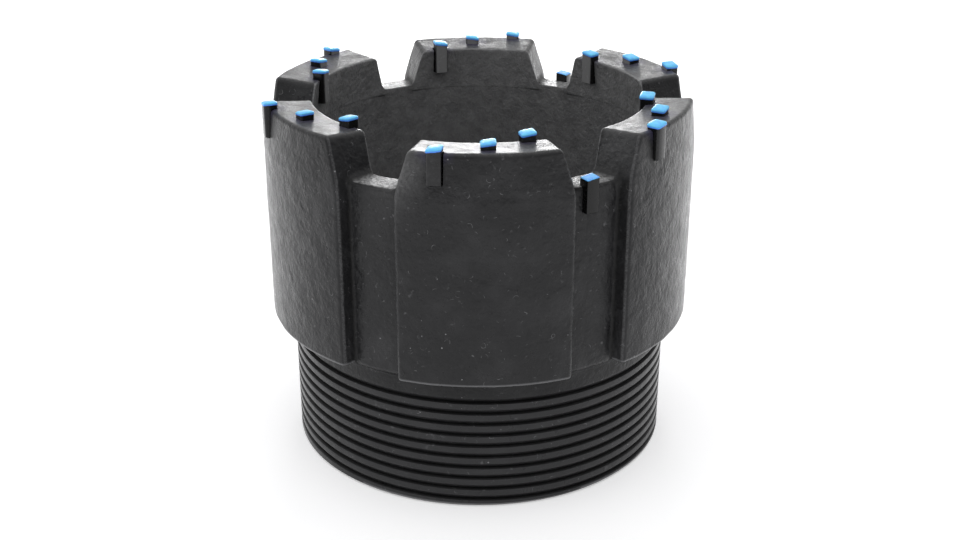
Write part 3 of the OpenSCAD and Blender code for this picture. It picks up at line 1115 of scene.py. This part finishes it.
def satin_black_paint(finish):
    """Satin black paint over a casting, with a grey bloom and painted light in the bore, painted glare on
    floors and tops, a painted sheen on the front and painted shade in its corners.
    """
    shader = Shader("satin_black_paint")
    where = shader.millimetres()
    patches = shader.clouds(where, size=14, detail=4, between=(0.42, 0.75), to=(0, 0.5), rough=0.55)
    smears = shader.clouds(
        where, size=3.0, detail=5, between=(0.52, 0.8), to=(0, 0.45), rough=0.7, distortion=0.4
    )
    bloom = shader.clouds(where, size=5, detail=6, between=(0.3, 0.7), to=(0.62, 1.0), rough=0.7)
    # Streaks through the painted glare
    glare_streaks = shader.clouds(
        where, size=1.2, detail=5, between=(0.38, 0.62), to=(0.2, 1.0), rough=0.7, distortion=0.5
    )
    # Breaks up the painted sheen on the front
    scuffs_and_sheen = shader.clouds(where, size=1.1, detail=5, between=(0.25, 0.75), to=(0.09, 0.28), rough=0.7)
    # Painted shade in the hollows, the thread's grooves and the seam
    painted_shade = shader.larger(shader.measure("hollow"), shader.measure("groove"))
    painted_shade = shader.larger(painted_shade, shader.measure("seam"))
    painted = shader.layered(finish.steel, [
        (shader.larger(patches, smears), finish.steel_worn),
        (shader.times(shader.measure("turned"), 0.45), finish.steel_worn),
        # Lighter inside the bore: grey bloom and painted light
        (shader.times(shader.measure("bore"), bloom), finish.bore_dust_and_light),
        # Painted glare on the waterways' floors and the segments' tops
        (shader.times(shader.measure("scoured"), glare_streaks), finish.scoured),
        # Painted sheen on the front segments' edges
        (shader.times(shader.measure("scuffed"), scuffs_and_sheen), finish.scoured),
        # Drifted tip paint and painted blue reflection round the inserts
        (shader.times(shader.measure("mist"), 0.45), finish.mist),
        (paint_marks(shader, where), finish.specks_and_highlights),
        (painted_shade, finish.shade),
        # Painted highlight lines, and edge wear
        (edge_wear_and_highlights(shader, where), finish.specks_and_highlights),
    ])
    rough = shader.clouds(where, size=6, detail=4, between=(0.3, 0.7), to=(0.26, 0.36), rough=0.6)
    rough = shader.plus(rough, shader.times(painted_shade, 0.3))
    rough = shader.plus(rough, shader.times(shader.measure("level"), 0.07))
    relief = cast_relief(shader, where)
    return shader.surface(Base_Color=painted, Roughness=rough, Normal=relief, Specular_IOR_Level=0.25)


def oily_shade(finish):
    """Painted shade: near-black walls of the pockets."""
    shader = Shader("oily_shade")
    where = shader.millimetres()
    patches = shader.clouds(where, size=1.2, detail=3, between=(0.4, 0.8), to=(0, 0.3))
    black = shader.blend(patches, finish.shade, finish.steel)
    rough = shader.clouds(where, size=0.8, detail=3, between=(0.3, 0.7), to=(0.6, 0.8))
    return shader.surface(Base_Color=black, Roughness=rough, Specular_IOR_Level=0.2)


def blue_tipped_carbide(finish, name, paint, darkness):
    """Dark carbide bar with a blue painted end, whose lower edge is a little uneven.

    The darkness is painted shade on the blue and the bar's sides, from 0 on the crown to 1 down in a
    waterway.
    """
    shader = Shader(name)
    where = shader.millimetres()
    wander = shader.clouds(where, size=0.9, detail=2, between=(0.3, 0.7), to=(-0.05, 0.05))
    below = shader.plus(shader.measure("below_tip"), wander)
    paint_end, soft = paint / MM, 0.03
    painted = shader.remap(below, paint_end - soft, paint_end + soft, 1.0, 0.0)
    # Painted shade: the blue deepens down the tip's sides, in random patches
    rim = shader.remap(below, 0.45, 1.15)
    depths = (0.35 * darkness, 0.4 + 0.35 * darkness)
    cloud = shader.clouds(where, size=1.6, detail=3, between=(0.4, 0.7), to=depths)
    blue = shader.blend(shader.larger(rim, cloud), finish.tip, finish.tip_side_shade)
    dusty = shader.clouds(where, size=1.6, detail=4, between=(0.4, 0.8), to=(0.0, 0.6), rough=0.6)
    bare = shader.layered(finish.steel, [
        (dusty, finish.steel_worn),
        # The bars' faces towards the bore get the same bloom and painted light
        (shader.remap(shader.measure("inward"), 0.85, 1.0, 0.0, 0.9), finish.bore_dust_and_light),
        # Side faces near black; with darkness the whole bar gets painted shade
        (shader.remap(shader.measure("flank"), 0.95, 1.0, darkness, 1.0), finish.shade),
    ])
    colour_now = shader.blend(painted, bare, blue)
    rough = shader.clouds(where, size=1.5, detail=3, between=(0.3, 0.7), to=(0.18, 0.28))
    rough = shader.plus(rough, shader.times(painted, 0.1))
    relief = shader.bump(shader.noise(where, size=0.7, detail=3), depth=0.03)
    return shader.surface(Base_Color=colour_now, Roughness=rough, Normal=relief, Specular_IOR_Level=0.3)


def place_piece(name, mesh, node, material):
    """A piece of the visual model that stands for one solid."""
    piece = bpy.data.objects.new(name, mesh)
    bpy.context.scene.collection.objects.link(piece)
    mesh.materials.append(material)
    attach(piece, "root")
    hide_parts(node)
    return piece


def insert_nodes(*spots):
    """Names of the inserts' solids at the given spots."""
    return sorted(name for name in frame["nodes"] if name.split("_")[0] in spots and "insert" in name)


def build_inserts(settings, spots):
    """Models every insert at the given spots."""
    sizes = settings.inserts
    gauge = "waterway" in spots
    name = "blue_topped_carbide" if gauge else "blue_tipped_carbide"
    # Waterway inserts get painted shade, as they sit down in the waterways
    paint, darkness = (sizes.gauge_paint, 0.9) if gauge else (sizes.paint, 0.0)
    material = blue_tipped_carbide(settings.finish, name, paint, darkness)
    for node in insert_nodes(*spots):
        mesh = insert_mesh(node + "_bar", Place(node), node.split("_")[0], sizes)
        place_piece(node + "_bar", mesh, node, material)


class RINGBIT_OT_body(bpy.types.Operator):
    """Model the cast steel body with its thread, pads, segments and pockets"""

    bl_idname = "ringbit.body"
    bl_label = "Steel Body"

    def execute(self, context):
        settings = context.scene.ring_bit
        mesh, form = body_mesh(settings)
        paint = satin_black_paint(settings.finish)
        piece = place_piece("steel_body", mesh, "bit_body", paint)
        pockets = pockets_mesh(insert_nodes(*CROWN_SPOTS, "waterway"), form, settings.inserts)
        cut(piece, pockets, oily_shade(settings.finish))
        for mark in FORM_MEASURES:
            mark(piece.data, form)
        groove_measure(piece.data, settings.body, settings.thread)
        overspray_and_blue_bounce_measure(piece.data, insert_nodes(*CROWN_SPOTS))
        finish_shading(piece.data, BODY_CREASE)
        return {"FINISHED"}


class RINGBIT_OT_crown_inserts(bpy.types.Operator):
    """Model the outer, middle and inner inserts of the six segments"""

    bl_idname = "ringbit.crown_inserts"
    bl_label = "Crown Inserts"

    def execute(self, context):
        build_inserts(context.scene.ring_bit, CROWN_SPOTS)
        return {"FINISHED"}


class RINGBIT_OT_waterway_inserts(bpy.types.Operator):
    """Model the inserts in every second waterway"""

    bl_idname = "ringbit.waterway_inserts"
    bl_label = "Waterway Inserts"

    def execute(self, context):
        build_inserts(context.scene.ring_bit, ("waterway",))
        return {"FINISHED"}


class RingBitSettings(bpy.types.PropertyGroup):
    """All settings of the ring bit."""

    body: bpy.props.PointerProperty(type=RingBitBody)
    edges: bpy.props.PointerProperty(type=RingBitEdges)
    thread: bpy.props.PointerProperty(type=RingBitThread)
    inserts: bpy.props.PointerProperty(type=RingBitInserts)
    finish: bpy.props.PointerProperty(type=RingBitFinish)


def add_lamp(name, place, size, watts):
    """A soft rectangular lamp that faces the object and isn't seen itself."""
    lamp = bpy.data.lights.new(name, "AREA")
    lamp.shape = "RECTANGLE"
    lamp.size, lamp.size_y = size
    lamp.energy = watts
    holder = bpy.data.objects.new(name, lamp)
    holder.location = place
    holder.rotation_euler = (Vector(LAMP_TARGET) - Vector(place)).to_track_quat("-Z", "Y").to_euler()
    holder.visible_camera = False
    bpy.context.scene.collection.objects.link(holder)


def add_camera(scene):
    """The camera, at the photograph's viewing angle."""
    camera = bpy.data.cameras.new("camera")
    camera.lens = CAMERA_LENS
    camera.sensor_width = CAMERA_SENSOR
    holder = bpy.data.objects.new("camera", camera)
    holder.location = CAMERA_PLACE
    holder.rotation_euler = [radians(turn) for turn in CAMERA_TURNS]
    scene.collection.objects.link(holder)
    scene.camera = holder


def seen_white(shader):
    """1 for the rays that are shown the white background: camera, gloss and glass rays."""
    path = shader.add("LightPath")
    gloss = shader.larger(path.outputs["Is Glossy Ray"], path.outputs["Is Transmission Ray"])
    return shader.larger(path.outputs["Is Camera Ray"], gloss)


def build_floor(finish, reach, glow, glossy_glow):
    """A wide pale floor that shows nearly white and keeps the object's shadow.

    In reflections it is brighter to the right and behind, by the two values of glossy_glow.
    """
    mesh = bpy.data.meshes.new("floor")
    corners = [(x * reach, y * reach, 0.0) for x, y in ((-1, -1), (1, -1), (1, 1), (-1, 1))]
    mesh.from_pydata(corners, [], [(0, 1, 2, 3)])
    floor = bpy.data.objects.new("floor", mesh)
    bpy.context.scene.collection.objects.link(floor)
    shader = Shader("pale_floor")
    diffuse = shader.add("BsdfDiffuse", Color=finish.floor)
    spot = shader.add("SeparateXYZ", Vector=shader.add("TexCoord").outputs["Object"])
    mirrored = shader.remap(spot.outputs["X"], -0.4, 0.4, *glossy_glow)
    mirrored = shader.times(mirrored, shader.remap(spot.outputs["Y"], -0.05, 0.15))
    glossy = shader.times(shader.add("LightPath").outputs["Is Glossy Ray"], mirrored)
    strength = shader.math("MULTIPLY_ADD", seen_white(shader), glow, glossy)
    light = shader.add("Emission", Color=(1.0, 1.0, 1.0), Strength=strength)
    both = shader.add("AddShader", Shader=diffuse.outputs[0], Shader_001=light.outputs[0])
    shader.add("OutputMaterial", Surface=both.outputs[0])
    mesh.materials.append(shader.material)


def build_world(front, back, overhead):
    """White behind the object, and soft light that is dim in front, bright behind and overhead.

    Reflections are shown the white only behind the object.
    """
    shader = Shader("studio", "worlds")
    facing = shader.add("SeparateXYZ", Vector=shader.add("TexCoord").outputs["Generated"])
    behind = shader.remap(facing.outputs["Y"], -0.1, 0.75)
    above = shader.remap(facing.outputs["Z"], 0.15, 0.65)
    level = shader.plus(front, shader.times(behind, back - front))
    level = shader.math("MULTIPLY_ADD", above, shader.math("SUBTRACT", overhead, level), level)
    path = shader.add("LightPath")
    gloss = shader.times(path.outputs["Is Glossy Ray"], behind)
    gloss = shader.larger(gloss, path.outputs["Is Transmission Ray"])
    seen = shader.larger(gloss, path.outputs["Is Camera Ray"])
    around = shader.add("Background", Color=(1.0, 1.0, 1.0), Strength=level)
    white = shader.add("Background", Color=(1.0, 1.0, 1.0), Strength=1.0)
    both = shader.add("MixShader", Fac=seen, Shader=around.outputs[0], Shader_001=white.outputs[0])
    shader.add("OutputWorld", Surface=both.outputs[0])
    bpy.context.scene.world = shader.material


class RINGBIT_OT_stage(bpy.types.Operator):
    """Set up the floor, the soft lamps, the background and the camera"""

    bl_idname = "ringbit.stage"
    bl_label = "Stage"

    def execute(self, context):
        scene = context.scene
        scene.view_settings.view_transform = "Standard"
        add_camera(scene)
        build_floor(scene.ring_bit.finish, reach=3.0, glow=0.32, glossy_glow=(0.3, 0.8))
        build_world(front=0.18, back=1.0, overhead=1.12)
        for name, place, size, watts in LAMPS:
            add_lamp(name, place, size, watts)
        return {"FINISHED"}


class RINGBIT_PT_sidebar(bpy.types.Panel):
    """The ring bit's pieces and settings."""

    bl_idname = "RINGBIT_PT_sidebar"
    bl_label = "Ring Bit"
    bl_space_type = "VIEW_3D"
    bl_region_type = "UI"
    bl_category = "Ring Bit"

    def draw(self, context):
        layout = self.layout
        for step in STEPS:
            layout.operator(step.bl_idname)
        settings = context.scene.ring_bit
        for group in (settings.body, settings.edges, settings.thread, settings.inserts, settings.finish):
            box = layout.box()
            for name in group.__annotations__:
                box.prop(group, name)


STEPS = (RINGBIT_OT_body, RINGBIT_OT_crown_inserts, RINGBIT_OT_waterway_inserts, RINGBIT_OT_stage)
GROUPS = (RingBitBody, RingBitEdges, RingBitThread, RingBitInserts, RingBitFinish, RingBitSettings)
CLASSES = (*GROUPS, *STEPS, RINGBIT_PT_sidebar)


def register():
    for kind in CLASSES:
        bpy.utils.register_class(kind)
    bpy.types.Scene.ring_bit = bpy.props.PointerProperty(type=RingBitSettings)


def unregister():
    del bpy.types.Scene.ring_bit
    for kind in reversed(CLASSES):
        bpy.utils.unregister_class(kind)


def main():
    register()
    bpy.ops.ringbit.body()
    bpy.ops.ringbit.crown_inserts()
    bpy.ops.ringbit.waterway_inserts()
    bpy.ops.ringbit.stage()


if __name__ == "__main__":
    main()
